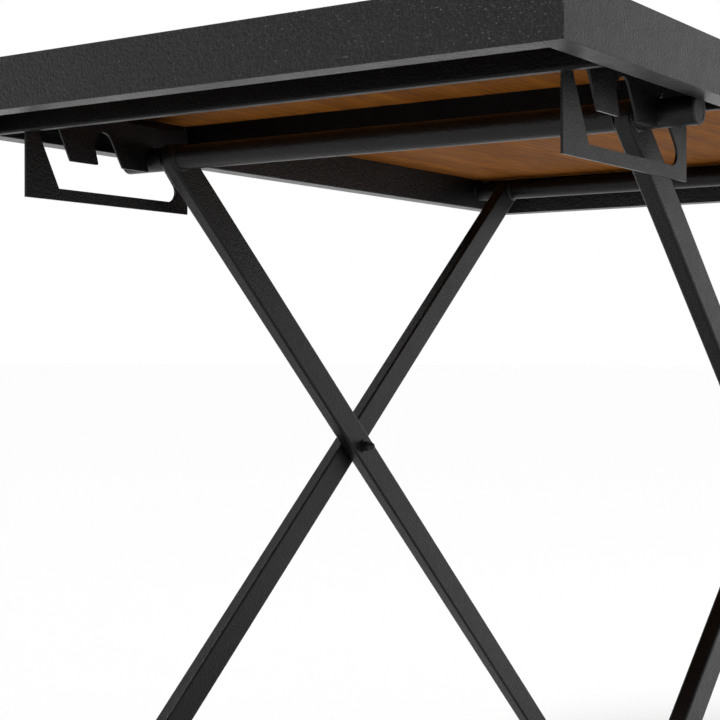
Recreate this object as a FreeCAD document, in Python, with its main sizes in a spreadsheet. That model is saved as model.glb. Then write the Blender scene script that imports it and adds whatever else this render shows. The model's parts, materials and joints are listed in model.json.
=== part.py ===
import FreeCAD, Part
import math
import os
import Sketcher
from FreeCAD import Rotation, Vector

# Folding table on two crossed leg frames. Millimetres, +Z up, +Y along the length.
# The origin is on the floor, under the centre of the table top. The outer leg frame
# hinges on the table top at the far end (+Y); the inner frame's top tube rests in
# notches cut in two guide plates at the near end (-Y).

dimensions = {
    # table top frame: four mitred rectangular tubes
    "tableWidth": 600, "tableLength": 1000, "frameLift": 700,
    "frameHeight": 40, "frameDepth": 20, "frameWall": 1.5, "frameEdge": 0.8,
    # board let into the frame
    "boardThick": 9, "boardLift": 36, "boardGap": 1, "boardEdge": 1.5,
    # cross rails under the board
    "crossWidth": 9, "crossWall": 1.2, "crossEdge": 2,
    "nearRailHeight": 36, "middleRailHeight": 30, "farRailHeight": 22,
    "nearRailY": -406.5, "middleRailY": -158.5, "farRailY": 423.5,
    "tabLength": 20, "tabWidth": 24, "tabThick": 2, "tabSpacing": 170,
    # round cross tubes of both leg frames
    "tubeRadius": 11, "tubeWall": 1.5, "tubeLength": 554,
    "nearTubeY": -243, "nearTubeLift": -6.5, "farTubeY": 401, "farTubeLift": 20.5,
    # legs: rectangular tube with round ends, welded round the cross tubes
    "legDeep": 29, "legThin": 14, "legWall": 1.5, "legEdge": 2.5, "endWall": 1,
    "innerLegX": 222.5, "outerLegX": 237.3, "pivotY": 50, "pivotHeight": 418.8,
    "footAxis": 15,
    # guide plates
    "plateX": 248.5, "plateThick": 2, "plateNear": -402, "plateFar": -197.4,
    "plateDrop": -53, "plateTop": 24.5, "plateBend": 1.8, "slotFloor": -43, "slotNear": -364,
    "channelWidth": 23.8, "channelLean": 27.6, "channelTop": 9,
    "notchRadius": 11.4, "notchLip": 17, "notchSlope": 32, "shoulderSlope": 20,
    "middleNotchY": -309.5, "middleNotchLift": -0.5, "toothFoot": -18.3,
    "shoulderLift": -15.6, "cornerRadius": 9.5, "cornerY": -223.8, "toothEdge": 1.5,
    # small pieces
    "studRadius": 4, "studCollar": 8, "studCollarThick": 1.3, "studFoot": 4, "studTip": 256,
    "bushRadius": 4.05, "bushLength": 19, "endLip": 1.2,
    "plugLength": 15, "plugLip": 2, "plugEdge": 0.6,
    "boltRadius": 3, "boltHead": 5.5, "boltHeadThick": 3.3, "boltLength": 40,
    "pivotBush": 5, "runningFit": 3.06, "spacerRadius": 8, "spacerThick": 0.6,
    "boltEdge": 1.2, "pivotGap": 0.1, "washerRadius": 7, "washerThick": 1.2,
    "nutAcross": 10, "nutThick": 6, "nutHeight": 12, "nutCrown": 2, "nutTip": 1.8,
    "nutShoulder": 3.4, "nutBarrel": 4.7,
    "footRadius": 16, "footLength": 16, "footSkin": 2, "footEdge": 1.5,
    "screwRadius": 2, "screwHead": 4, "screwCrown": 2.8, "screwHeadThick": 2.2,
    "screwLength": 8, "screwPlay": 0.2,
    "rivetRadius": 1.8, "rivetY": -244, "rivetLift": 8,
}

doc = FreeCAD.newDocument("folding_table")
sheet = doc.addObject("Spreadsheet::Sheet", "dims")
for row, (alias, number) in enumerate(dimensions.items(), start=1):
    sheet.set(f"A{row}", str(number))
    sheet.setAlias(f"A{row}", alias)
doc.recompute()

xAxis, yAxis, zAxis = Vector(1, 0, 0), Vector(0, 1, 0), Vector(0, 0, 1)
sides = (("left", -1), ("right", 1))
subParts = []
closeTo = 0.01  # slack used when edges are picked by their place

# Expressions used by more than one piece.
nearTubeHeight = "(dims.frameLift + dims.nearTubeLift)"
farTubeHeight = "(dims.frameLift + dims.farTubeLift)"
innerAngle = f"atan(({nearTubeHeight} - dims.pivotHeight) / (dims.pivotY - dims.nearTubeY))"
outerAngle = f"atan(({farTubeHeight} - dims.pivotHeight) / (dims.farTubeY - dims.pivotY))"
innerFootY = f"(dims.pivotY + (dims.pivotHeight - dims.footAxis) / tan({innerAngle}))"
outerFootY = f"(dims.pivotY - (dims.pivotHeight - dims.footAxis) / tan({outerAngle}))"
innerLength = f"(({nearTubeHeight} - dims.footAxis) / sin({innerAngle}))"
outerLength = f"(({farTubeHeight} - dims.footAxis) / sin({outerAngle}))"
boardUnderside = "(dims.frameLift + dims.boardLift)"
openingWidth = "(dims.tableWidth - 2 * dims.frameDepth)"
plateLow = ("dims.plateNear", "dims.plateDrop")
plateHigh = ("dims.plateFar", "dims.plateTop")
plateReach = f"({openingWidth} / 2 - dims.plateX)"


def size(alias):
    """Number that the sheet holds under this alias."""
    return float(getattr(sheet, alias))


def place(piece, x="0", y="0", z="0", axis=None, angle=None):
    """Bind the piece's place, and its turn about one axis, to the sheet."""
    if axis:
        piece.Placement = FreeCAD.Placement(Vector(), Rotation(axis, 1))
        piece.setExpression("Placement.Rotation.Angle", f"{angle} * 1")
    for letter, expression in (("x", x), ("y", y), ("z", z)):
        piece.setExpression(f"Placement.Base.{letter}", f"({expression}) * 1 mm")


def keep(piece, label):
    """Name a finished sub-part and list it for export."""
    piece.Label = label
    subParts.append(piece)
    return piece


# Sketches and features

def newBody(label):
    return keep(doc.addObject("PartDesign::Body", label), label)


def newSketch(body, plane, offset=None):
    """Sketch on one of the body's own origin planes, moved along its normal."""
    sketch = body.newObject("Sketcher::SketchObject", "sketch")
    origin = [feature for feature in body.Origin.OriginFeatures if feature.Role == plane]
    sketch.AttachmentSupport = (origin[0], [""])
    sketch.MapMode = "FlatFace"
    if offset:
        sketch.setExpression("AttachmentOffset.Base.z", f"({offset}) * 1 mm")
    return sketch


def bindPoint(sketch, line, name, kind, axisId, expression):
    """Fix one coordinate of a line's start, measured from the sketch's origin."""
    if expression == "0":
        sketch.addConstraint(Sketcher.Constraint("PointOnObject", line, 1, axisId))
        return
    negative = expression.startswith("-") or isNegative(expression)
    ends = (line, 1, -1, 1) if negative else (-1, 1, line, 1)
    index = sketch.addConstraint(Sketcher.Constraint(kind, *ends, 1.0))
    sketch.renameConstraint(index, name)
    distance = f"-({expression})" if isNegative(expression) else expression.removeprefix("-")
    sketch.setExpression(f"Constraints.{name}", distance)


def isNegative(expression):
    """True for a bare alias whose number in the sheet is below zero."""
    alias = expression.removeprefix("dims.")
    return dimensions.get(alias, 0) < 0


def drawPolygon(sketch, corners, tag="p"):
    """Closed polygon whose corners are pairs of expressions; a leading minus is a sign."""
    count = len(corners)
    first = sketch.GeometryCount
    ring = [Vector(math.cos(2 * math.pi * i / count), math.sin(2 * math.pi * i / count), 0)
            for i in range(count)]
    for i in range(count):
        sketch.addGeometry(Part.LineSegment(ring[i], ring[(i + 1) % count]))
    for i in range(count):
        after = first + (i + 1) % count
        sketch.addConstraint(Sketcher.Constraint("Coincident", first + i, 2, after, 1))
    for i, (across, up) in enumerate(corners):
        bindPoint(sketch, first + i, f"{tag}x{i}", "DistanceX", -2, across)
        bindPoint(sketch, first + i, f"{tag}y{i}", "DistanceY", -1, up)


def drawRectangle(sketch, low, high, tag="p"):
    corners = ((low[0], low[1]), (high[0], low[1]), (high[0], high[1]), (low[0], high[1]))
    drawPolygon(sketch, corners, tag)


def drawCircle(sketch, radius, across="0", tag="c"):
    """Circle centred on the sketch's horizontal axis."""
    circle = sketch.addGeometry(Part.Circle(Vector(1, 0, 0), zAxis, 1))
    sketch.addConstraint(Sketcher.Constraint("PointOnObject", circle, 3, -1))
    if across == "0":
        sketch.addConstraint(Sketcher.Constraint("PointOnObject", circle, 3, -2))
    else:
        index = sketch.addConstraint(Sketcher.Constraint("DistanceX", -1, 1, circle, 3, 1.0))
        sketch.renameConstraint(index, f"{tag}x")
        sketch.setExpression(f"Constraints.{tag}x", across)
    index = sketch.addConstraint(Sketcher.Constraint("Radius", circle, 1.0))
    sketch.renameConstraint(index, f"{tag}r")
    sketch.setExpression(f"Constraints.{tag}r", radius)


def addFeature(body, kind, sketch, length, symmetric=False, reverse=False):
    feature = body.newObject(f"PartDesign::{kind}", kind.lower())
    feature.Profile = sketch
    feature.setExpression("Length", f"({length}) * 1 mm")
    feature.SideType = "Symmetric" if symmetric else "One side"
    feature.Reversed = reverse
    return feature


def turned(label, profile):
    """Solid of revolution about local X from a profile of (x, radius) expressions."""
    body = newBody(label)
    sketch = newSketch(body, "XY_Plane")
    drawPolygon(sketch, profile)
    turn = body.newObject("PartDesign::Revolution", "turn")
    turn.Profile = sketch
    turn.ReferenceAxis = (sketch, ["H_Axis"])
    turn.Angle = 360
    return body


def roundEdges(body, radius, choose):
    """Fillet the edges of the body's last feature that the test picks."""
    doc.recompute()
    base = body.Tip
    names = [f"Edge{i}" for i, edge in enumerate(base.Shape.Edges, start=1) if choose(edge)]
    fillet = body.newObject("PartDesign::Fillet", "fillet")
    fillet.Base = (base, names)
    fillet.setExpression("Radius", f"{radius} * 1 mm")
    return fillet


def runsAlong(edge, axis):
    if not isinstance(edge.Curve, Part.Line):
        return False
    return abs(abs(edge.Curve.Direction.dot(axis)) - 1) < 1e-6


# Table top

def makeFrameRail(label, length, x, y, turn, hingeAt=None):
    """Mitred tube; local X runs along its outer edge, local Y points into the table."""
    body = newBody(label)
    outline = newSketch(body, "XY_Plane")
    corners = (("0", "0"), (length, "0"), (f"{length} - dims.frameDepth", "dims.frameDepth"),
               ("dims.frameDepth", "dims.frameDepth"))
    drawPolygon(outline, corners)
    addFeature(body, "Pad", outline, "dims.frameHeight")
    roundEdges(body, "dims.frameEdge", lambda edge: runsAlong(edge, xAxis))
    hollow = newSketch(body, "YZ_Plane")
    drawRectangle(hollow, ("dims.frameWall", "dims.frameWall"),
                  ("dims.frameDepth - dims.frameWall", "dims.frameHeight - dims.frameWall"))
    addFeature(body, "Pocket", hollow, length, reverse=True)
    if hingeAt:
        wallHole = newSketch(body, "XZ_Plane", "-dims.frameDepth")
        drawCircle(wallHole, "dims.studRadius", hingeAt)
        wallHole.setExpression("AttachmentOffset.Base.y", "dims.farTubeLift * 1 mm")
        addFeature(body, "Pocket", wallHole, "3 * dims.frameWall", symmetric=True)
    place(body, x, y, "dims.frameLift", zAxis, str(turn))


def makeFrame():
    halfWidth, halfLength = "dims.tableWidth / 2", "dims.tableLength / 2"
    makeFrameRail("near_end_rail", "dims.tableWidth", f"-{halfWidth}", f"-{halfLength}", 0)
    makeFrameRail("right_side_rail", "dims.tableLength", halfWidth, f"-{halfLength}", 90,
                  f"{halfLength} + dims.farTubeY")
    makeFrameRail("far_end_rail", "dims.tableWidth", halfWidth, halfLength, 180)
    makeFrameRail("left_side_rail", "dims.tableLength", f"-{halfWidth}", halfLength, 270,
                  f"{halfLength} - dims.farTubeY")


def makeBoard():
    body = newBody("tabletop_board")
    outline = newSketch(body, "XY_Plane")
    halfX = "dims.tableWidth / 2 - dims.frameDepth - dims.boardGap"
    halfY = "dims.tableLength / 2 - dims.frameDepth - dims.boardGap"
    drawRectangle(outline, (f"-({halfX})", f"-({halfY})"), (halfX, halfY))
    addFeature(body, "Pad", outline, "dims.boardThick")
    upper = size("boardThick") - closeTo
    roundEdges(body, "dims.boardEdge", lambda edge: edge.BoundBox.ZMin > upper)
    place(body, z=boardUnderside)


def makeCrossRail(label, railY, heightName):
    """Thin rectangular tube between the side rails, with three screw tabs behind it."""
    body = newBody(label)
    section = newSketch(body, "YZ_Plane")
    half, wall, height = "dims.crossWidth / 2", "dims.crossWall", f"dims.{heightName}"
    drawRectangle(section, (f"-({half})", f"-({height})"), (half, "0"))
    drawRectangle(section, (f"-({half} - {wall})", f"-({height} - {wall})"),
                  (f"{half} - {wall}", f"-({wall})"), "q")
    addFeature(body, "Pad", section, openingWidth, symmetric=True)
    lowest, side = closeTo - size(heightName), size("crossWidth") / 2 - closeTo

    def isLowerCorner(edge):
        box = edge.BoundBox
        return runsAlong(edge, xAxis) and box.ZMax < lowest and abs(box.YMin) > side

    roundEdges(body, "dims.crossEdge", isLowerCorner)
    for column in (-1, 0, 1):
        tab = newSketch(body, "XY_Plane", "-dims.tabThick")
        bore = newSketch(body, "XY_Plane", "-dims.tabThick")
        if column:
            for sketch in (tab, bore):
                sketch.setExpression("AttachmentOffset.Base.x",
                                     f"{column} * dims.tabSpacing * 1 mm")
        drawRectangle(tab, ("-dims.tabWidth / 2", f"{half} - {wall} / 2"),
                      ("dims.tabWidth / 2", f"{half} + dims.tabLength"))
        addFeature(body, "Pad", tab, "dims.tabThick")
        bore.setExpression("AttachmentOffset.Base.y", f"({half} + dims.tabLength / 2) * 1 mm")
        drawCircle(bore, "dims.screwRadius + dims.screwPlay")
        addFeature(body, "Pocket", bore, "dims.tabThick", reverse=True)
    place(body, y=f"dims.{railY}", z=boardUnderside)


def makeCrossRails():
    makeCrossRail("near_cross_rail", "nearRailY", "nearRailHeight")
    makeCrossRail("middle_cross_rail", "middleRailY", "middleRailHeight")
    makeCrossRail("far_cross_rail", "farRailY", "farRailHeight")


# Guide plates

def polar(centre, radius, degrees):
    turn = math.radians(degrees)
    return centre + Vector(radius * math.cos(turn), radius * math.sin(turn), 0)


def arcAbout(centre, radius, start, end):
    """Three points of an arc, from one angle to the other, in degrees."""
    return [polar(centre, radius, angle) for angle in (start, (start + end) / 2, end)]


def slideTo(point, degrees, height):
    """Point at a given height on the line that leaves a point at an angle."""
    direction = polar(Vector(), 1, degrees)
    return point + direction * ((height - point.y) / direction.y)


def slotOutline():
    """Guide slot as points and arcs: across is table Y, up is height over the frame's foot."""
    floor, foot, lean = size("slotFloor"), size("toothFoot"), size("channelLean")
    lip, notchRadius = size("notchLip"), size("notchRadius")
    channelRadius = size("channelWidth") / 2
    nearCorner = Vector(size("slotNear"), floor, 0)
    channelStart = polar(nearCorner, channelRadius, lean)
    channelEnd = slideTo(channelStart, 90 + lean, size("channelTop"))
    middleNotch = Vector(size("middleNotchY"), size("middleNotchLift"), 0)
    restNotch = Vector(size("nearTubeY"), size("nearTubeLift"), 0)

    channel = arcAbout(channelEnd, channelRadius, 180 + lean, lean)
    middle = arcAbout(middleNotch, notchRadius, 180 + lip, size("notchSlope"))
    rest = arcAbout(restNotch, notchRadius, 180 + lip, size("shoulderSlope"))
    shoulder = slideTo(rest[2], size("shoulderSlope") - 90, size("shoulderLift"))

    cornerRadius = size("cornerRadius")
    cornerCentre = Vector(size("cornerY"), floor + cornerRadius, 0)
    reach = shoulder - cornerCentre
    bearing = math.degrees(math.atan2(reach.y, reach.x))
    tangent = bearing - math.degrees(math.acos(cornerRadius / reach.Length))
    corner = arcAbout(cornerCentre, cornerRadius, tangent, -90)

    tabNear = slideTo(channel[2], lean - 90, foot)
    tabFar = slideTo(middle[0], lip - 90, foot)
    toothNear = slideTo(middle[2], size("notchSlope") - 90, foot)
    toothFar = slideTo(rest[0], lip - 90, foot)
    teeth = [tabNear, tabFar, toothNear, toothFar]
    pieces = [[nearCorner], channel, [tabNear], [tabFar], middle, [toothNear], [toothFar],
              rest, [shoulder], corner]
    return pieces, teeth


def drawPath(sketch, pieces):
    """Closed path: one-point pieces are corners, three-point pieces are arcs."""
    curves = []
    for piece, following in zip(pieces, pieces[1:] + pieces[:1]):
        if len(piece) == 3:
            curves.append(Part.Arc(*piece))
        curves.append(Part.LineSegment(piece[-1], following[0]))
    for curve in curves:
        sketch.addGeometry(curve)


def makeGuidePlate(label, side):
    """Notched plate whose top is bent out to the side rail and welded to it."""
    body = newBody(label)
    thick, outward = "dims.plateThick", side < 0
    outline = newSketch(body, "YZ_Plane")
    drawRectangle(outline, plateLow, plateHigh)
    addFeature(body, "Pad", outline, thick, symmetric=True)
    flange = newSketch(body, "YZ_Plane")
    drawRectangle(flange, (plateLow[0], f"{plateHigh[1]} - {thick}"), plateHigh)
    addFeature(body, "Pad", flange, plateReach, reverse=outward)
    inner = -side * size("plateThick") / 2
    top = size("plateTop") - closeTo

    def isBend(edge):
        box = edge.BoundBox
        return runsAlong(edge, yAxis) and box.ZMin > top and abs(box.XMin - inner) < closeTo

    roundEdges(body, "dims.plateBend", isBend)
    pieces, teeth = slotOutline()
    slot = newSketch(body, "YZ_Plane")
    drawPath(slot, pieces)
    addFeature(body, "Pocket", slot, f"2 * {thick}", symmetric=True)

    def isToothCorner(edge):
        middle = edge.BoundBox.Center
        spot = Vector(middle.y, middle.z, 0)
        near = min(spot.distanceToPoint(tooth) for tooth in teeth)
        return runsAlong(edge, xAxis) and near < 10 * closeTo

    roundEdges(body, "dims.toothEdge", isToothCorner)
    place(body, f"{side} * dims.plateX", z="dims.frameLift")


def makeGroup(label, members):
    group = keep(doc.addObject("Part::Compound", label), label)
    group.Links = members


def makeScrew(x, y, z):
    """Pan-head screw driven upwards; its place is the head's seat."""
    shank = doc.addObject("Part::Cylinder", "shank")
    shank.setExpression("Radius", "dims.screwRadius * 1 mm")
    shank.setExpression("Height", "dims.screwLength * 1 mm")
    head = doc.addObject("Part::Cone", "head")
    head.setExpression("Radius1", "dims.screwCrown * 1 mm")
    head.setExpression("Radius2", "dims.screwHead * 1 mm")
    head.setExpression("Height", "dims.screwHeadThick * 1 mm")
    place(head, z="-dims.screwHeadThick")
    screw = doc.addObject("Part::MultiFuse", "screw")
    screw.Shapes = [shank, head]
    place(screw, x, y, z)
    return screw


def makeRivet(side):
    """Dome-headed rivet on both faces of a guide plate."""
    rivet = doc.addObject("Part::Sphere", "rivet")
    rivet.setExpression("Radius", "dims.rivetRadius * 1 mm")
    place(rivet, f"{side} * dims.plateX", "dims.rivetY", "dims.frameLift + dims.rivetLift")
    return rivet


def makeGuidePlates():
    for name, side in sides:
        makeGuidePlate(f"{name}_guide_plate", side)
    makeGroup("guide_plate_rivets", [makeRivet(side) for _, side in sides])


def makeBoardScrews():
    screws = [makeScrew(f"{column} * dims.tabSpacing",
                        f"{rail} + dims.crossWidth / 2 + dims.tabLength / 2",
                        f"{boardUnderside} - dims.tabThick")
              for rail in ("dims.nearRailY", "dims.middleRailY", "dims.farRailY")
              for column in (-1, 0, 1)]
    makeGroup("board_screws", screws)


# Leg frames

def makeTube(label, y, z):
    """Round cross tube, centred on the table's middle plane."""
    body = newBody(label)
    section = newSketch(body, "YZ_Plane")
    drawCircle(section, "dims.tubeRadius")
    drawCircle(section, "dims.tubeRadius - dims.tubeWall", tag="d")
    addFeature(body, "Pad", section, "dims.tubeLength", symmetric=True)
    place(body, y=y, z=z)


def makeLeg(label, x, y, z, length, pivotAt, pivotHole, axis, angle):
    """Leg with round ends; local Y runs from its top tube's axis to its floor tube's axis."""
    body = newBody(label)
    half = "dims.legDeep / 2"
    nearEnd = f"({half} - dims.tubeRadius - dims.endWall)"
    farEnd = f"({length} - {nearEnd})"
    shank = newSketch(body, "YZ_Plane")
    drawRectangle(shank, (nearEnd, f"-({half})"), (farEnd, half))
    addFeature(body, "Pad", shank, "dims.legThin", symmetric=True)
    for centre in (nearEnd, farEnd):
        roundEnd = newSketch(body, "YZ_Plane")
        drawCircle(roundEnd, half, centre)
        addFeature(body, "Pad", roundEnd, "dims.legThin", symmetric=True)
    face = size("legThin") / 2 - closeTo
    roundEdges(body, "dims.legEdge", lambda edge: edge.BoundBox.XLength < closeTo
               and abs(edge.BoundBox.XMin) > face)
    hollow = newSketch(body, "YZ_Plane")
    drawRectangle(hollow, (nearEnd, f"-({half} - dims.legWall)"),
                  (farEnd, f"{half} - dims.legWall"))
    addFeature(body, "Pocket", hollow, "dims.legThin - 2 * dims.legWall", symmetric=True)
    for radius, centre in (("dims.tubeRadius", "0"), ("dims.tubeRadius", length),
                           (pivotHole, pivotAt)):
        bore = newSketch(body, "YZ_Plane")
        drawCircle(bore, radius, centre)
        addFeature(body, "Pocket", bore, "2 * dims.legThin", symmetric=True)
    place(body, x, y, z, axis, angle)


def makeFoot(label, side, y):
    """Plastic cap on a floor tube's end, with a flat sole; local X points to the middle."""
    body = newBody(label)
    outline = newSketch(body, "YZ_Plane")
    drawCircle(outline, "dims.footRadius")
    addFeature(body, "Pad", outline, "dims.footLength")
    doc.recompute()
    roundEdges(body, "dims.footEdge", lambda edge: edge.BoundBox.XMax < closeTo)
    bore = newSketch(body, "YZ_Plane", "dims.footSkin")
    drawCircle(bore, "dims.tubeRadius")
    addFeature(body, "Pocket", bore, "dims.footLength", reverse=True)
    sole = newSketch(body, "YZ_Plane")
    drawRectangle(sole, ("-dims.footRadius", "-2 * dims.footRadius"),
                  ("dims.footRadius", "-dims.footAxis"))
    addFeature(body, "Pocket", sole, "dims.footLength", reverse=True)
    place(body, f"{side} * (dims.tubeLength / 2 + dims.footSkin)", y, "dims.footAxis",
          zAxis, "0" if side < 0 else "180")


def makeOuterLegs():
    makeTube("far_top_tube", "dims.farTubeY", farTubeHeight)
    makeTube("outer_floor_tube", outerFootY, "dims.footAxis")
    pivotAt = f"({farTubeHeight} - dims.pivotHeight) / sin({outerAngle})"
    for name, side in sides:
        makeLeg(f"{name}_outer_leg", f"{side} * dims.outerLegX", "dims.farTubeY",
                farTubeHeight, outerLength, pivotAt, "dims.boltRadius + dims.pivotGap",
                xAxis, f"(180 deg + {outerAngle})")
        makeFoot(f"{name}_outer_foot", side, outerFootY)
        bush = turned(f"{name}_hinge_bush", (
            ("0", "dims.bushRadius"), ("dims.bushLength + dims.endLip", "dims.bushRadius"),
            ("dims.bushLength + dims.endLip", "dims.tubeRadius"),
            ("dims.bushLength", "dims.tubeRadius"),
            ("dims.bushLength", "dims.tubeRadius - dims.tubeWall"),
            ("0", "dims.tubeRadius - dims.tubeWall")))
        place(bush, f"{side} * (dims.tubeLength / 2 - dims.bushLength)", "dims.farTubeY",
              farTubeHeight, zAxis, "0" if side > 0 else "180")


def makeInnerLegs():
    makeTube("near_top_tube", "dims.nearTubeY", nearTubeHeight)
    makeTube("inner_floor_tube", innerFootY, "dims.footAxis")
    pivotAt = f"({nearTubeHeight} - dims.pivotHeight) / sin({innerAngle})"
    for name, side in sides:
        makeLeg(f"{name}_inner_leg", f"{side} * dims.innerLegX", "dims.nearTubeY",
                nearTubeHeight, innerLength, pivotAt, "dims.pivotBush",
                Vector(-1, 0, 0), f"({innerAngle})")
        makeFoot(f"{name}_inner_foot", side, innerFootY)
        total = "dims.plugLength + dims.plugLip"
        plug = turned(f"{name}_top_plug", (
            ("0", "0"), (total, "0"), (total, "dims.tubeRadius - dims.plugEdge"),
            (f"{total} - dims.plugEdge", "dims.tubeRadius"), ("dims.plugLength", "dims.tubeRadius"),
            ("dims.plugLength", "dims.tubeRadius - dims.tubeWall"),
            ("0", "dims.tubeRadius - dims.tubeWall")))
        place(plug, f"{side} * (dims.tubeLength / 2 - dims.plugLength)", "dims.nearTubeY",
              nearTubeHeight, zAxis, "0" if side > 0 else "180")


# Hinges and pivots

def makeHingeStuds():
    """Shouldered pins fixed in the side rails; the far top tube turns on them."""
    wallAt = f"{openingWidth} / 2 - dims.studTip"
    collarAt = f"{wallAt} - dims.studCollarThick"
    footAt = f"{wallAt} + dims.studFoot"
    for name, side in sides:
        stud = turned(f"{name}_hinge_stud", (
            ("0", "0"), (footAt, "0"), (footAt, "dims.studRadius"),
            (wallAt, "dims.studRadius"), (wallAt, "dims.studCollar"),
            (collarAt, "dims.studCollar"), (collarAt, "dims.studRadius"),
            ("0", "dims.studRadius")))
        place(stud, f"{side} * dims.studTip", "dims.farTubeY", farTubeHeight, zAxis,
              "0" if side > 0 else "180")


def makeRing(label, outer, inner, thick):
    return turned(label, (("0", inner), (thick, inner), (thick, outer), ("0", outer)))


def makeDomeNut(label):
    """Hexagonal cap nut; local X points from its seat to its dome."""
    body = newBody(label)
    outline = newSketch(body, "YZ_Plane")
    half, corner = "dims.nutAcross / 2", "dims.nutAcross / sqrt(3)"
    drawPolygon(outline, ((half, f"{corner} / 2"), ("0", corner), (f"-{half}", f"{corner} / 2"),
                          (f"-{half}", f"-{corner} / 2"), ("0", f"-{corner}"),
                          (half, f"-{corner} / 2")))
    addFeature(body, "Pad", outline, "dims.nutThick")
    profile = newSketch(body, "XY_Plane")
    drawPolygon(profile, (("0", "0"), ("dims.nutHeight", "0"),
                          ("dims.nutHeight", "dims.nutTip"),
                          ("dims.nutHeight - dims.boltEdge", "dims.nutShoulder"),
                          ("dims.nutHeight - dims.boltRadius", "dims.nutBarrel"),
                          ("dims.nutThick", "dims.nutBarrel"), ("0", "dims.nutBarrel")))
    dome = body.newObject("PartDesign::Revolution", "dome")
    dome.Profile = profile
    dome.ReferenceAxis = (profile, ["H_Axis"])
    dome.Angle = 360
    bore = newSketch(body, "YZ_Plane")
    drawCircle(bore, "dims.boltRadius")
    addFeature(body, "Pocket", bore, "dims.nutHeight - dims.nutCrown", reverse=True)
    return body


def makePivots():
    """Bolt through both legs where they cross, from the outer face to a cap nut inside."""
    headFace = "(dims.outerLegX + dims.legThin / 2 + dims.boltHeadThick)"
    innerFace = "(dims.innerLegX - dims.legThin / 2 - dims.pivotGap)"
    for name, side in sides:
        inward = "0" if side < 0 else "180"
        bolt = turned(f"{name}_pivot_bolt", (
            ("0", "0"), ("0", "dims.boltHead / 2"), ("dims.boltEdge", "dims.boltHead"),
            ("dims.boltHeadThick", "dims.boltHead"), ("dims.boltHeadThick", "dims.boltRadius"),
            ("dims.boltHeadThick + dims.boltLength", "dims.boltRadius"),
            ("dims.boltHeadThick + dims.boltLength", "0")))
        spacer = makeRing(f"{name}_pivot_spacer", "dims.spacerRadius", "dims.runningFit",
                          "dims.spacerThick")
        bush = makeRing(f"{name}_pivot_bush", "dims.pivotBush", "dims.runningFit",
                        "dims.legThin")
        washer = makeRing(f"{name}_pivot_washer", "dims.washerRadius", "dims.runningFit",
                          "dims.washerThick")
        nut = makeDomeNut(f"{name}_dome_nut")
        stations = (
            (bolt, headFace), (nut, f"{innerFace} - dims.washerThick"), (washer, innerFace),
            (spacer, "dims.outerLegX - dims.legThin / 2 - dims.pivotGap"),
            (bush, "dims.innerLegX + dims.legThin / 2"))
        for piece, station in stations:
            place(piece, f"{side} * ({station})", "dims.pivotY", "dims.pivotHeight",
                  zAxis, inward)


def checkAndExport():
    doc.recompute()
    for item in doc.Objects:
        if "Invalid" in item.State or "Error" in item.State:
            raise RuntimeError(f"{item.Label} failed: {item.State}")
    for piece in subParts:
        shape = piece.Shape
        if shape.isNull() or not shape.isValid() or shape.Volume <= 0:
            raise RuntimeError(f"{piece.Label} has no valid solid")
    os.makedirs("parts", exist_ok=True)
    for piece in subParts:
        piece.Shape.exportStep(f"parts/{piece.Label}.step")
        box = piece.Shape.BoundBox
        print(f"{piece.Label:22s} solids {len(piece.Shape.Solids)}"
              f"  volume {piece.Shape.Volume:10.1f}"
              f"  x {box.XMin:7.1f} {box.XMax:7.1f}  y {box.YMin:7.1f} {box.YMax:7.1f}"
              f"  z {box.ZMin:6.1f} {box.ZMax:6.1f}")


makeFrame()
makeBoard()
makeCrossRails()
makeGuidePlates()
makeBoardScrews()
makeHingeStuds()
makeOuterLegs()
makeInnerLegs()
makePivots()
checkAndExport()
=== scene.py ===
import json
import math

import bmesh
import bpy
from mathutils import Matrix, Vector


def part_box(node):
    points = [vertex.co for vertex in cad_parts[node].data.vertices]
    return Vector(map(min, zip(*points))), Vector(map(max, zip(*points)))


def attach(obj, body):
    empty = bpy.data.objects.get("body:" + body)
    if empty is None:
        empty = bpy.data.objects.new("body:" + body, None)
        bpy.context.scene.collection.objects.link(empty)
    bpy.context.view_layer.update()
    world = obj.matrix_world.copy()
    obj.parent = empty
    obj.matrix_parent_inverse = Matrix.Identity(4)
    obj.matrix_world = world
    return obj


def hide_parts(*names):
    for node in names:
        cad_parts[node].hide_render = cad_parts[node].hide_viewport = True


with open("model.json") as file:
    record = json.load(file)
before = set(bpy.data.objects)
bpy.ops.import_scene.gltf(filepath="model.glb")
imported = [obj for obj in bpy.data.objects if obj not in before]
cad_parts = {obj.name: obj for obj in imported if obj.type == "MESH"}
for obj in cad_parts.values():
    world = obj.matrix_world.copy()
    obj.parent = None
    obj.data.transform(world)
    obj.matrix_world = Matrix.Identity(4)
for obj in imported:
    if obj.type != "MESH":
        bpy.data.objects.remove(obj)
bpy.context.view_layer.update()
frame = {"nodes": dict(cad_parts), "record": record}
nodes = frame["nodes"]
sides = {"left": -1, "right": 1}
rails = ("near", "middle", "far")  # the cross rails under the board
print("frame loaded:", len(nodes), "CAD pieces")


# Camera, room and light

camera = {"spot": (0.7188, -1.3221, 0.5160), "turn": 34.397, "tilt": -0.211, "lens": 78.46}


def makeCamera():
    data = bpy.data.cameras.new("camera")
    data.lens = camera["lens"]
    data.sensor_width = 36
    data.clip_end = 200
    eye = bpy.data.objects.new("camera", data)
    eye.location = camera["spot"]
    eye.rotation_euler = (math.radians(90 + camera["tilt"]), 0, math.radians(camera["turn"]))
    bpy.context.scene.collection.objects.link(eye)
    bpy.context.scene.camera = eye


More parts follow.
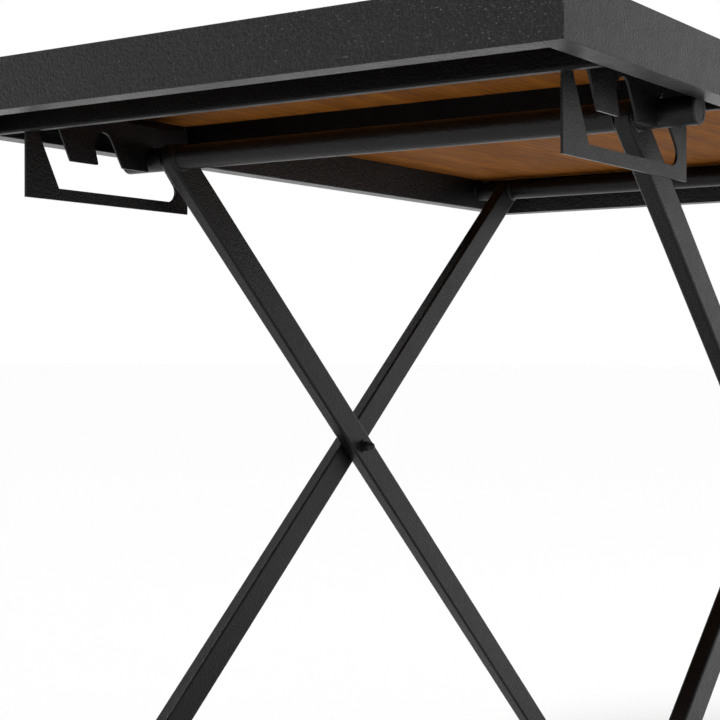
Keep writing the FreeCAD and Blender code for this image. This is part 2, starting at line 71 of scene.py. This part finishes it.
room = {
    "floorReach": 60,
    "floor": {"Base Color": (0.92, 0.92, 0.92, 1), "Roughness": 0.9, "Specular IOR Level": 0.1},
    "sky": ((0.23, 1.0), (0.34, 0.62), (0.6, 0.26), (1.0, 0.2)),  # sine of elevation, brightness
    "sun": {"strength": 2.5, "spread": 40, "tilt": 24, "turn": -35, "height": 4},
    "lamps": (  # name, place, aimed at, width, height, watts
        ("sideLamp", (2.6, 0.9, 1.5), (0, 0, 0.6), 1.6, 1.6, 8),
        ("lowStrip", (-2.2, -3.4, 0.58), (0, -0.24, 0.69), 2.4, 0.22, 7),
    ),
}


def makeFloor():
    bm = bmesh.new()
    bmesh.ops.create_grid(bm, x_segments=1, y_segments=1, size=room["floorReach"])
    mesh = bpy.data.meshes.new("floor")
    bm.to_mesh(mesh)
    bm.free()
    mesh.materials.append(newMaterial("floorPaint", room["floor"])[0])
    floor = bpy.data.objects.new("floor", mesh)
    bpy.context.scene.collection.objects.link(floor)


def makeSky():
    world = bpy.data.worlds.new("room")
    world.use_nodes = True
    tree = world.node_tree
    split = tree.nodes.new("ShaderNodeSeparateXYZ")
    tree.links.new(tree.nodes.new("ShaderNodeTexCoord").outputs["Generated"],
                   split.inputs["Vector"])
    stops = [(rise, (level, level, level)) for rise, level in room["sky"]]
    tree.links.new(addRamp(tree, split.outputs["Z"], stops),
                   tree.nodes["Background"].inputs["Color"])
    bpy.context.scene.world = world


def addLight(name, kind, spot, turn, settings):
    data = bpy.data.lights.new(name, kind)
    for setting, value in settings.items():
        setattr(data, setting, value)
    light = bpy.data.objects.new(name, data)
    light.location = spot
    light.rotation_euler = turn
    bpy.context.scene.collection.objects.link(light)


def makeRoom():
    bpy.context.scene.view_settings.view_transform = "Standard"
    makeFloor()
    makeSky()
    sun = room["sun"]
    addLight("sun", "SUN", (0, 0, sun["height"]),
             (math.radians(sun["tilt"]), 0, math.radians(sun["turn"])),
             {"energy": sun["strength"], "angle": math.radians(sun["spread"])})
    for name, spot, target, width, height, watts in room["lamps"]:
        aim = Vector(target) - Vector(spot)
        addLight(name, "AREA", spot, aim.to_track_quat("-Z", "Y").to_euler(),
                 {"shape": "ELLIPSE", "size": width, "size_y": height, "energy": watts})


# Finishes: every pattern is laid out in object coordinates, in metres
# A noise is scale, detail, roughness and distortion; a bump is strength and depth

def newMaterial(name, settings):
    material = bpy.data.materials.new(name)
    material.use_nodes = True
    tree = material.node_tree
    shader = tree.nodes["Principled BSDF"]
    for socket, value in settings.items():
        shader.inputs[socket].default_value = value
    place = tree.nodes.new("ShaderNodeTexCoord").outputs["Object"]
    return material, tree, shader, place


def addNoise(tree, place, scale, detail=2.0, roughness=0.5, distortion=0.0):
    noise = tree.nodes.new("ShaderNodeTexNoise")
    for socket, value in (("Scale", scale), ("Detail", detail), ("Roughness", roughness),
                          ("Distortion", distortion)):
        noise.inputs[socket].default_value = value
    tree.links.new(place, noise.inputs["Vector"])
    return noise.outputs["Fac"]


def stretch(tree, place, scale):
    mapping = tree.nodes.new("ShaderNodeMapping")
    mapping.inputs["Scale"].default_value = scale
    tree.links.new(place, mapping.inputs["Vector"])
    return mapping.outputs["Vector"]


def addRamp(tree, value, stops):
    ramp = tree.nodes.new("ShaderNodeValToRGB")
    elements = ramp.color_ramp.elements
    while len(elements) < len(stops):
        elements.new(0.5)
    for element, (position, color) in zip(elements, stops):
        element.position = position
        element.color = (*color, 1)
    tree.links.new(value, ramp.inputs["Fac"])
    return ramp.outputs["Color"]


def addRange(tree, value, low, high, start=0.3, end=0.7):
    spread = tree.nodes.new("ShaderNodeMapRange")
    for socket, number in (("From Min", start), ("From Max", end), ("To Min", low),
                           ("To Max", high)):
        spread.inputs[socket].default_value = number
    tree.links.new(value, spread.inputs["Value"])
    return spread.outputs["Result"]


def addMix(tree, kind, factor, first, second, mode="MIX"):
    mix = tree.nodes.new("ShaderNodeMix")
    mix.data_type = kind
    mix.blend_type = mode
    ending = "Color" if kind == "RGBA" else "Float"
    sockets = {socket.identifier: socket for socket in mix.inputs}
    sockets["Factor_Float"].default_value = factor
    tree.links.new(first, sockets[f"A_{ending}"])
    tree.links.new(second, sockets[f"B_{ending}"])
    return {socket.identifier: socket for socket in mix.outputs}[f"Result_{ending}"]


def addBump(tree, height, strength, depth, under=None):
    bump = tree.nodes.new("ShaderNodeBump")
    bump.inputs["Strength"].default_value = strength
    bump.inputs["Distance"].default_value = depth
    tree.links.new(height, bump.inputs["Height"])
    if under:
        tree.links.new(under, bump.inputs["Normal"])
    return bump.outputs["Normal"]


def tint(tree, shader, pattern, finish):
    color = addRamp(tree, pattern, ((0.3, finish["dark"]), (0.7, finish["pale"])))
    tree.links.new(color, shader.inputs["Base Color"])


powderCoats = {
    "endRailCoat": {  # coarsest wrinkle
        "dark": (0.0030, 0.0030, 0.0031), "pale": (0.0050, 0.0050, 0.0051), "shine": 0.33,
        "roughness": (0.31, 0.38), "peelScale": 400, "peelDepth": 0.0014, "stipple": 0.00010,
    },
    "sideRailCoat": {
        "dark": (0.0030, 0.0030, 0.0031), "pale": (0.0050, 0.0050, 0.0051), "shine": 0.32,
        "roughness": (0.31, 0.38), "peelScale": 480, "peelDepth": 0.0007, "stipple": 0.00009,
    },
    # the same powder coat, given a darker tone and a lower shine as painted shade on the cross rails
    # under the board
    "crossRailPaintedShadeCoat": {
        "dark": (0.0012, 0.0012, 0.0013), "pale": (0.0020, 0.0020, 0.0021), "shine": 0.13,
        "roughness": (0.34, 0.42), "peelScale": 620, "peelDepth": 0.0006, "stipple": 0.00007,
    },
    # darker tone and lower shine than the rail coats: painted shade for the parts under the board;
    # its finer, shallower wrinkle is real
    "legCoatWithPaintedShade": {  # legs, tubes, plates, rivets and welds
        "dark": (0.0022, 0.0022, 0.0023), "pale": (0.0036, 0.0036, 0.0037), "shine": 0.25,
        "roughness": (0.30, 0.36), "peelScale": 620, "peelDepth": 0.0006, "stipple": 0.00007,
    },
}
coating = {  # what all the coats share
    "ior": 1.45, "clouds": (22, 3), "gloss": (60, 3), "stippleNoise": (1500, 2),
    "stippleStrength": 0.5, "peelNoise": (1.5, 0.5, 0.6), "peelStrength": 0.9,
}


def makePowderCoat(name):
    coat = powderCoats[name]
    material, tree, shader, place = newMaterial(name, {
        "IOR": coating["ior"], "Specular IOR Level": coat["shine"]})
    tint(tree, shader, addNoise(tree, place, *coating["clouds"]), coat)
    gloss = addRange(tree, addNoise(tree, place, *coating["gloss"]), *coat["roughness"])
    tree.links.new(gloss, shader.inputs["Roughness"])
    stipple = addBump(tree, addNoise(tree, place, *coating["stippleNoise"]),
                      coating["stippleStrength"], coat["stipple"])
    peel = addNoise(tree, place, coat["peelScale"], *coating["peelNoise"])
    tree.links.new(addBump(tree, peel, coating["peelStrength"], coat["peelDepth"], stipple),
                   shader.inputs["Normal"])
    return material


boardWood = {
    "browns": ((0.22, (0.080, 0.024, 0.003)), (0.42, (0.170, 0.057, 0.007)),
               (0.58, (0.250, 0.090, 0.013)), (0.78, (0.330, 0.128, 0.022))),
    "figure": ((14, 0.9, 14), (1, 4, 0.55, 0.8)),  # stretched along the board, then its noise
    "grain": ((95, 3.2, 95), (1, 6, 0.62, 0.5)),
    "pores": ((900, 26, 900), (1, 2, 0.5)),
    "figureShare": 0.42, "poreShades": ((0.34, (0.5, 0.44, 0.38)), (0.5, (1, 1, 1))),
    "roughness": (0.62, 0.78), "grainBump": (0.3, 0.0002), "poreBump": (0.35, 0.0001),
    "lacquer": {"IOR": 1.48, "Specular IOR Level": 0.05},
}


def makeBoardWood():
    material, tree, shader, place = newMaterial("boardWood", boardWood["lacquer"])
    figure, grain, pores = [addNoise(tree, stretch(tree, place, scale), *noise)
                            for scale, noise in map(boardWood.get, ("figure", "grain", "pores"))]
    brown = addRamp(tree, addMix(tree, "FLOAT", boardWood["figureShare"], grain, figure),
                    boardWood["browns"])
    streak = addRamp(tree, pores, boardWood["poreShades"])
    tree.links.new(addMix(tree, "RGBA", 1, brown, streak, "MULTIPLY"),
                   shader.inputs["Base Color"])
    tree.links.new(addRange(tree, grain, *boardWood["roughness"]), shader.inputs["Roughness"])
    lines = addBump(tree, grain, *boardWood["grainBump"])
    tree.links.new(addBump(tree, pores, *boardWood["poreBump"], lines), shader.inputs["Normal"])
    return material


metals = {
    "zincPlate": {
        "dark": (0.36, 0.36, 0.37), "pale": (0.56, 0.55, 0.53), "roughness": (0.28, 0.42),
        "bloom": (260, 4), "grain": (2200, 2), "bump": (0.2, 0.00003), "shader": {"Metallic": 1},
    },
    "blackOxide": {
        "dark": (0.004, 0.004, 0.0043), "pale": (0.009, 0.0088, 0.0088), "roughness": (0.26, 0.4),
        "bloom": (320, 4), "grain": (1800, 2), "bump": (0.25, 0.00003),
        "shader": {"IOR": 1.5, "Specular IOR Level": 0.3},
    },
}


def makeMetal(name):
    metal = metals[name]
    material, tree, shader, place = newMaterial(name, metal["shader"])
    bloom = addNoise(tree, place, *metal["bloom"])
    tint(tree, shader, bloom, metal)
    tree.links.new(addRange(tree, bloom, *metal["roughness"]), shader.inputs["Roughness"])
    tree.links.new(addBump(tree, addNoise(tree, place, *metal["grain"]), *metal["bump"]),
                   shader.inputs["Normal"])
    return material


plastics = {
    "blackPlastic": {"dark": (0.007, 0.007, 0.0073), "pale": (0.011, 0.011, 0.0113),
                     "roughness": (0.50, 0.62), "grain": (1300, 2)},
    "nylon": {"dark": (0.020, 0.020, 0.021), "pale": (0.030, 0.030, 0.030),
              "roughness": (0.42, 0.55), "grain": (2400, 2)},
}
moulding = {  # what both plastics share
    "clouds": (90, 3), "gloss": (140, 2), "bump": (0.4, 0.00006),
    "shader": {"IOR": 1.5, "Specular IOR Level": 0.35},
}


def makePlastic(name):
    plastic = plastics[name]
    material, tree, shader, place = newMaterial(name, moulding["shader"])
    tint(tree, shader, addNoise(tree, place, *moulding["clouds"]), plastic)
    tree.links.new(addRange(tree, addNoise(tree, place, *moulding["gloss"]), *plastic["roughness"]),
                   shader.inputs["Roughness"])
    tree.links.new(addBump(tree, addNoise(tree, place, *plastic["grain"]), *moulding["bump"]),
                   shader.inputs["Normal"])
    return material


def dressNodes(finishes):
    slots = {part["node"]: part["material_slot"] for part in frame["record"]["subparts"]}
    for name, node in nodes.items():
        kind = name.partition("_")[2]  # an end_rail, side_rail or cross_rail has its own coat
        node.data.materials.clear()
        node.data.materials.append(finishes[kind if kind.endswith("_rail") else slots[name]])


# New pieces: each is turned or swept in millimetres, then settled where its CAD node is
# A profile is a list of points: how far along the axis, and how far out from it

seamGap = 1e-6  # metres
poleGap = 1e-4  # millimetres
sharpAngle = 32


def middleOf(node):
    low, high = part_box(node)
    return (Vector(low) + Vector(high)) / 2


def spanOf(node):
    low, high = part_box(node)
    return Vector(high) - Vector(low)


def outerEnd(node, sign):
    low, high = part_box(node)
    return low[0] if sign < 0 else high[0]


def finishPiece(name, bm, body, material):
    bmesh.ops.remove_doubles(bm, verts=bm.verts, dist=seamGap)
    bmesh.ops.recalc_face_normals(bm, faces=bm.faces)
    mesh = bpy.data.meshes.new(name)
    bm.to_mesh(mesh)
    bm.free()
    mesh.shade_smooth()
    mesh.set_sharp_from_angle(angle=math.radians(sharpAngle))
    mesh.materials.append(material)
    piece = bpy.data.objects.new(name, mesh)
    bpy.context.scene.collection.objects.link(piece)
    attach(piece, body)
    return piece


def bend(along, out, radius, start, end, count=5):
    turns = [math.radians(start + (end - start) * i / (count - 1)) for i in range(count)]
    return [(along + radius * math.cos(turn), out + radius * math.sin(turn)) for turn in turns]


def turnProfile(bm, profile, steps, closed=False):
    points = [bm.verts.new((along, out, 0)) for along, out in profile]
    after = points[1:] + points[:1] if closed else points[1:]
    edges = [bm.edges.new(pair) for pair in zip(points, after)]
    bmesh.ops.spin(bm, geom=points + edges, cent=(0, 0, 0), axis=(1, 0, 0),
                   angle=math.tau, steps=steps, use_merge=True)
    bmesh.ops.remove_doubles(bm, verts=bm.verts, dist=poleGap)


def openEdges(bm):
    return [edge for edge in bm.edges if edge.is_boundary]


def vertsIn(geom):
    return [item for item in geom if isinstance(item, bmesh.types.BMVert)]


def settle(bm, verts, spot, side=1):
    bmesh.ops.scale(bm, verts=verts, vec=(side / 1000, 1 / 1000, 1 / 1000))
    bmesh.ops.translate(bm, verts=verts, vec=spot)


# Weld beads

weld = {"reach": 2.0, "bulge": 0.25, "root": 0.4, "facets": 5, "ringSteps": 144, "ripples": 30,
        "depth": 0.07, "front": 0.6, "wander": (0.9, 2.3), "pitch": 2.3, "seamStep": 0.46,
        "taper": 2.5, "bluntEnd": 0.02}


def beadSection():
    # across the corner from one toe to the other, bulging outwards, then back to the root
    reach, count = weld["reach"], weld["facets"]
    section = []
    for i in range(count + 1):
        share = i / count
        swell = weld["bulge"] * math.sin(math.pi * share)
        section.append((reach * (1 - share) + swell, reach * share + swell))
    return section + [(-weld["root"], -weld["root"])]


def rippleAt(turns):
    # overlapping scales: a steep front and a long back, a little uneven
    slow, fast = weld["wander"]
    uneven = (math.sin(slow * turns) + math.sin(fast * turns + 1)) / 2
    scale = math.sin(math.pi * (turns % 1) ** weld["front"])
    return 1 + weld["depth"] * (scale - 0.5 + 0.5 * uneven)


def addRingBead(bm, radius, spot, side):
    before = set(bm.verts)
    section = [(along, radius + out) for along, out in beadSection()]
    turnProfile(bm, section, weld["ringSteps"], closed=True)
    fresh = [vert for vert in bm.verts if vert not in before]
    for vert in fresh:
        share = math.atan2(vert.co.z, vert.co.y) / math.tau + 0.5
        size = rippleAt(share * weld["ripples"])
        out = math.hypot(vert.co.y, vert.co.z)
        wider = (radius + (out - radius) * size) / out
        vert.co = (vert.co.x * size, vert.co.y * wider, vert.co.z * wider)
    settle(bm, fresh, spot, side)


def addSeam(bm, start, end, acrossOne, acrossTwo):
    before = set(bm.verts)
    start, end = Vector(start) * 1000, Vector(end) * 1000
    one, two = Vector(acrossOne), Vector(acrossTwo)
    run = (end - start).length
    steps = round(run / weld["seamStep"])
    points = [bm.verts.new(start + one * along + two * out) for along, out in beadSection()]
    edges = [bm.edges.new(pair) for pair in zip(points, points[1:] + points[:1])]
    bmesh.ops.spin(bm, geom=points + edges, cent=start, axis=(0, 0, 1), angle=0, steps=steps,
                   dvec=(end - start) / steps)
    fresh = [vert for vert in bm.verts if vert not in before]
    for vert in fresh:
        done = (vert.co - start).dot((end - start) / run)
        onCorner = start + (end - start) * (done / run)
        edge = min(done, run - done) / weld["taper"]
        thin = math.sqrt(min(1, max(edge, weld["bluntEnd"])))
        size = rippleAt(done / weld["pitch"]) * thin
        vert.co = onCorner + (vert.co - onCorner) * size
    bmesh.ops.holes_fill(bm, edges=openEdges(bm), sides=0)
    settle(bm, fresh, (0, 0, 0))


def makeTubeWelds(finish):
    joins = (("near_top", "inner"), ("inner_floor", "inner"),
             ("far_top", "outer"), ("outer_floor", "outer"))
    for tubeName, legName in joins:
        axis = middleOf(f"{tubeName}_tube")
        radius = spanOf(f"{tubeName}_tube").z * 500
        bm = bmesh.new()
        for side in sides:
            low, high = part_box(f"{side}_{legName}_leg")
            for face, outward in ((high[0], 1), (low[0], -1)):
                addRingBead(bm, radius, (face, axis.y, axis.z), outward)
        finishPiece(f"{tubeName}_tube_welds", bm, f"{legName}_legs", finish)


frameWeld = {"endGap": 0.0008, "railWidth": 0.009, "railStart": 0.00225, "plateThick": 0.002,
             "stitch": 0.026, "stitchPlaces": (0.12, 0.5, 0.88)}  # metres, shares of the plate


def addUprightSeam(bm, sign, y, along, start):
    # up the inner wall of a side rail, in the corner at y, to just under the board
    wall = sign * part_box("right_side_rail")[0][0]
    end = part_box("tabletop_board")[0][2] - frameWeld["endGap"]
    addSeam(bm, (wall, y, start), (wall, y, end), (-sign, 0, 0), (0, along, 0))


def makeCornerWelds(finish):
    bm = bmesh.new()
    near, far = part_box("near_end_rail"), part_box("far_end_rail")
    for sign in sides.values():
        for y, along in ((near[1][1], 1), (far[0][1], -1)):
            addUprightSeam(bm, sign, y, along, near[0][2] + frameWeld["endGap"])
    finishPiece("frame_corner_welds", bm, "tabletop", finish)


def makeCrossRailWelds(finish):
    bm = bmesh.new()
    for sign in sides.values():
        for rail in rails:
            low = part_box(f"{rail}_cross_rail")[0]
            for y, along in ((low[1], -1), (low[1] + frameWeld["railWidth"], 1)):
                addUprightSeam(bm, sign, y, along, low[2] + frameWeld["railStart"])
    finishPiece("cross_rail_welds", bm, "tabletop", finish)


def makeGuidePlateWelds(finish):
    bm = bmesh.new()
    for side, sign in sides.items():
        low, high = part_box(f"{side}_guide_plate")
        wall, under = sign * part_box("right_side_rail")[0][0], high[2] - frameWeld["plateThick"]
        half = frameWeld["stitch"] / 2
        for share in frameWeld["stitchPlaces"]:
            y = low[1] + (high[1] - low[1]) * share
            addSeam(bm, (wall, y - half, under), (wall, y + half, under), (-sign, 0, 0),
                    (0, 0, -1))
    finishPiece("guide_plate_welds", bm, "tabletop", finish)


# Screws under the board

panScrew = {"radius": 4, "thick": 2.2, "edge": 1.4, "flat": 2.1, "shank": 2, "length": 8, "tip": 1.5,
            "slotHalf": 0.45, "slotDepth": 1.2, "cutWithin": 0.1, "pressWithin": 0.05,
            "tabInset": 10, "steps": 32}


def headFaces(bm, depth):
    # the faces that lie within a depth of the head's top, which looks down
    return [face for face in bm.faces if face.calc_center_median().z < depth - panScrew["thick"]]


def pressCross(bm):
    half = panScrew["slotHalf"]
    for normal in ((1, 0, 0), (0, 1, 0)):
        for offset in (-half, half):
            top = headFaces(bm, panScrew["cutWithin"])
            cut = list({vert for face in top for vert in face.verts}
                       | {edge for face in top for edge in face.edges}) + top
            bmesh.ops.bisect_plane(bm, geom=cut, plane_co=Vector(normal) * offset,
                                   plane_no=normal)
    cross = [face for face in headFaces(bm, panScrew["pressWithin"])
             if min(abs(face.calc_center_median().x), abs(face.calc_center_median().y)) < half]
    pushed = bmesh.ops.extrude_face_region(bm, geom=cross)["geom"]
    bmesh.ops.delete(bm, geom=cross, context="FACES")
    bmesh.ops.translate(bm, verts=vertsIn(pushed), vec=(0, 0, panScrew["slotDepth"]))


def makeBoardScrews(finish):
    bm = bmesh.new()
    radius, thick, edge = panScrew["radius"], panScrew["thick"], panScrew["edge"]
    shank, length = panScrew["shank"], panScrew["length"]
    profile = [(-thick, 0), (-thick, panScrew["flat"])]
    profile += bend(edge - thick, radius - edge, edge, 180, 90, 6)
    profile += [(0, radius), (0, shank), (length - panScrew["tip"], shank), (length, 0)]
    turnProfile(bm, profile, panScrew["steps"])
    bmesh.ops.rotate(bm, verts=bm.verts, cent=(0, 0, 0),
                     matrix=Matrix.Rotation(math.radians(-90), 3, "Y"))
    pressCross(bm)
    settle(bm, bm.verts, (0, 0, 0))
    first = list(bm.verts) + list(bm.edges) + list(bm.faces)
    low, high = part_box("board_screws")
    for rail in rails:
        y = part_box(f"{rail}_cross_rail")[1][1] - panScrew["tabInset"] / 1000
        for x in (low[0] + radius / 1000, 0, high[0] - radius / 1000):
            copied = vertsIn(bmesh.ops.duplicate(bm, geom=first)["geom"])
            bmesh.ops.translate(bm, verts=copied, vec=(x, y, high[2] - length / 1000))
    bmesh.ops.delete(bm, geom=vertsIn(first), context="VERTS")
    piece = finishPiece("pan_head_screws", bm, "tabletop", finish)
    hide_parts("board_screws")


# Pivot bolts and cap nuts

def hexRing(bm, across, along, perSide):
    ring = bmesh.ops.create_circle(bm, segments=6, radius=across / math.sqrt(3))["verts"]
    edges = list({edge for vert in ring for edge in vert.link_edges})
    bmesh.ops.subdivide_edges(bm, edges=edges, cuts=perSide - 1)
    fresh = [vert for vert in bm.verts if not vert.link_faces]
    bmesh.ops.rotate(bm, verts=fresh, cent=(0, 0, 0), matrix=Matrix.Rotation(math.pi / 2, 3, "Y"))
    bmesh.ops.translate(bm, verts=fresh, vec=(along, 0, 0))
    return fresh, list({edge for vert in fresh for edge in vert.link_edges})


def extrudeRing(bm, edges, along, grow=1.0):
    geom = bmesh.ops.extrude_edge_only(bm, edges=edges)["geom"]
    verts = vertsIn(geom)
    bmesh.ops.scale(bm, verts=verts, vec=(1, grow, grow))
    bmesh.ops.translate(bm, verts=verts, vec=(along, 0, 0))
    return verts, [item for item in geom if isinstance(item, bmesh.types.BMEdge)]


pivotBolt = {"head": 5.5, "headThick": 3.3, "swell": 0.05, "band": 0.3, "bandEdge": 0.2,
             "crownPoints": 9, "socket": 4, "socketDepth": 2.0, "socketRim": 2.9, "drillPoint": 0.6,
             "pointShare": 0.02, "shank": 3, "length": 40, "tip": (1, 0.8), "perSide": 6}


def boltProfile():
    # from the socket's rim over the domed head, then down the shank
    head, thick, rim = pivotBolt["head"], pivotBolt["headThick"], pivotBolt["socketRim"]
    shank, length, (tipLong, tipDeep) = pivotBolt["shank"], pivotBolt["length"], pivotBolt["tip"]
    arc = bend(0, 0, head + pivotBolt["swell"], 0, 90, pivotBolt["crownPoints"])[:-1]
    crown = [(-along * thick / head, out) for along, out in arc]
    level = max(along for along, out in crown if out <= rim)
    profile = [(level, rim)] + [point for point in crown if point[1] > rim]
    profile += [(-pivotBolt["band"], head), (0, head - pivotBolt["bandEdge"]), (0, shank)]
    return profile + [(length - tipLong, shank), (length, shank - tipDeep), (length, 0)]


def makePivotBolts(finish):
    for side, sign in sides.items():
        bm = bmesh.new()
        profile = boltProfile()
        turnProfile(bm, profile, 6 * pivotBolt["perSide"])
        rim = openEdges(bm)
        socket = hexRing(bm, pivotBolt["socket"], profile[0][0], pivotBolt["perSide"])[1]
        floor = extrudeRing(bm, socket, pivotBolt["socketDepth"])[1]
        extrudeRing(bm, floor, pivotBolt["drillPoint"], pivotBolt["pointShare"])
        bmesh.ops.bridge_loops(bm, edges=rim + socket)
        bmesh.ops.holes_fill(bm, edges=openEdges(bm), sides=0)
        node = f"{side}_pivot_bolt"
        seat = outerEnd(node, sign) - sign * pivotBolt["headThick"] / 1000
        centre = middleOf(node)
        settle(bm, bm.verts, (seat, centre.y, centre.z), -sign)
        piece = finishPiece(f"{side}_button_bolt", bm, "outer_legs", finish)
        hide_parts(f"{side}_pivot_bolt")


capNut = {"across": 10, "thick": 5.6, "flat": 4.8, "slope": 0.55, "seatShare": 0.768,
          "length": 12, "dome": 4.6, "domeFoot": 0.8, "domePoints": 11, "perSide": 8}


def makeCapNuts(finish):
    thick, flat, dome = capNut["thick"], capNut["flat"], capNut["dome"]
    domeStart = thick + capNut["domeFoot"]
    domeRise = capNut["length"] - domeStart
    profile = [(thick, flat), (thick, dome)]
    profile += [(domeStart + domeRise * rise, dome * out)
                for out, rise in bend(0, 0, 1, 0, 90, capNut["domePoints"])]
    for side, sign in sides.items():
        bm = bmesh.new()
        lower, ring = hexRing(bm, capNut["across"], 0, capNut["perSide"])
        upper, upperEdges = extrudeRing(bm, ring, thick)
        for group, inward in ((lower, 1), (upper, -1)):
            for vert in group:  # both faces slope back at the corners
                over = math.hypot(vert.co.y, vert.co.z) - flat
                vert.co.x += inward * max(0, over) * capNut["slope"]
        seatRim = [edge for edge in openEdges(bm) if edge.verts[0].co.x < thick / 2]
        before = set(bm.edges)
        turnProfile(bm, profile, 6 * capNut["perSide"])
        domeRim = [edge for edge in openEdges(bm) if edge not in before]
        nutRim = [edge for edge in openEdges(bm) if edge in set(upperEdges)]
        bmesh.ops.bridge_loops(bm, edges=nutRim + domeRim)
        extrudeRing(bm, seatRim, 0, capNut["seatShare"])
        bmesh.ops.holes_fill(bm, edges=openEdges(bm), sides=0)
        centre = middleOf(f"{side}_pivot_bolt")
        seat = outerEnd(f"{side}_dome_nut", sign)
        settle(bm, bm.verts, (seat, centre.y, centre.z), -sign)
        piece = finishPiece(f"{side}_cap_nut", bm, "outer_legs", finish)
        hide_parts(f"{side}_dome_nut")


# Plugs and feet on the tubes' ends

topPlug = {"lip": 2, "edge": 0.7, "seam": 0.25, "dish": 0.35, "dishRadius": 7.6, "dishEdge": 0.5,
           "fit": 1.5, "length": 17, "tip": (1, 0.6), "steps": 72}


def makeTopPlugs(finish):
    radius = spanOf("near_top_tube").z * 500
    axis = middleOf("near_top_tube")
    edge, lip, seam = topPlug["edge"], topPlug["lip"], topPlug["seam"]
    length, (tipLong, tipDeep) = topPlug["length"], topPlug["tip"]
    bore = radius - topPlug["fit"]
    profile = [(topPlug["dish"], 0), (topPlug["dish"], topPlug["dishRadius"]),
               (0, topPlug["dishRadius"] + topPlug["dishEdge"])]
    profile += bend(edge, radius - edge, edge, 180, 90)
    profile += [(lip - seam, radius), (lip, radius - seam), (lip, bore)]
    profile += [(length - tipLong, bore), (length, bore - tipDeep), (length, 0)]
    for side, sign in sides.items():
        bm = bmesh.new()
        turnProfile(bm, profile, topPlug["steps"])
        settle(bm, bm.verts, (outerEnd(f"{side}_top_plug", sign), axis.y, axis.z), -sign)
        piece = finishPiece(f"{side}_tube_plug", bm, "inner_legs", finish)
        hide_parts(f"{side}_top_plug")


foot = {"edge": 2.4, "skin": 2, "groove": (11.4, 0.7, 0.6), "backEdge": 0.8, "dish": 0.4,
        "dishRadius": 11.5, "dishEdge": 0.6, "soleInset": 1.2, "soleDepth": 0.5, "steps": 96}


def footProfile(radius, length, bore):
    edge, back, (start, wide, deep) = foot["edge"], foot["backEdge"], foot["groove"]
    profile = [(foot["dish"], 0), (foot["dish"], foot["dishRadius"]),
               (0, foot["dishRadius"] + foot["dishEdge"])]
    profile += bend(edge, radius - edge, edge, 180, 90, 7)
    profile += [(start, radius), (start + deep, radius - deep),
                (start + deep + wide, radius - deep), (start + 2 * deep + wide, radius)]
    profile += bend(length - back, radius - back, back, 90, 0, 4)
    return profile + [(length, bore), (foot["skin"], bore), (foot["skin"], 0)]


def cutSole(bm, depth):
    bmesh.ops.bisect_plane(bm, geom=list(bm.verts) + list(bm.edges) + list(bm.faces),
                           plane_co=(0, 0, -depth), plane_no=(0, 0, -1), clear_outer=True)
    sole = bmesh.ops.holes_fill(bm, edges=openEdges(bm), sides=0)["faces"]
    bmesh.ops.inset_region(bm, faces=sole, thickness=foot["soleInset"])
    bmesh.ops.translate(bm, verts=list({vert for face in sole for vert in face.verts}),
                        vec=(0, 0, foot["soleDepth"]))


def makeFeet(finish):
    for legName in ("outer", "inner"):
        axis = middleOf(f"{legName}_floor_tube")
        bore = spanOf(f"{legName}_floor_tube").z * 500
        for side, sign in sides.items():
            node = f"{side}_{legName}_foot"
            span = spanOf(node)
            bm = bmesh.new()
            turnProfile(bm, footProfile(span.y * 500, span.x * 1000, bore), foot["steps"])
            cutSole(bm, axis.z * 1000)
            settle(bm, bm.verts, (outerEnd(node, sign), axis.y, axis.z), -sign)
            piece = finishPiece(f"{side}_{legName}_end_cap", bm, f"{legName}_legs",
                                finish)
            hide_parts(node)


makeCamera()
makeRoom()
finishes = {
    "powder_coat": makePowderCoat("legCoatWithPaintedShade"), "end_rail": makePowderCoat("endRailCoat"),
    "side_rail": makePowderCoat("sideRailCoat"), "cross_rail": makePowderCoat("crossRailPaintedShadeCoat"),
    "wood_board": makeBoardWood(), "fastener_steel": makeMetal("zincPlate"),
    "black_fastener": makeMetal("blackOxide"), "black_plastic": makePlastic("blackPlastic"),
    "nylon": makePlastic("nylon"),
}
dressNodes(finishes)
print("CAD pieces finished")
makeTubeWelds(finishes["powder_coat"])
makeCornerWelds(finishes["powder_coat"])
makeCrossRailWelds(finishes["powder_coat"])
makeGuidePlateWelds(finishes["powder_coat"])
print("welds laid")
makeBoardScrews(finishes["fastener_steel"])
makePivotBolts(finishes["black_fastener"])
makeCapNuts(finishes["black_fastener"])
print("screws, bolts and nuts made")
makeTopPlugs(finishes["black_plastic"])
makeFeet(finishes["black_plastic"])
print("plugs and feet made")
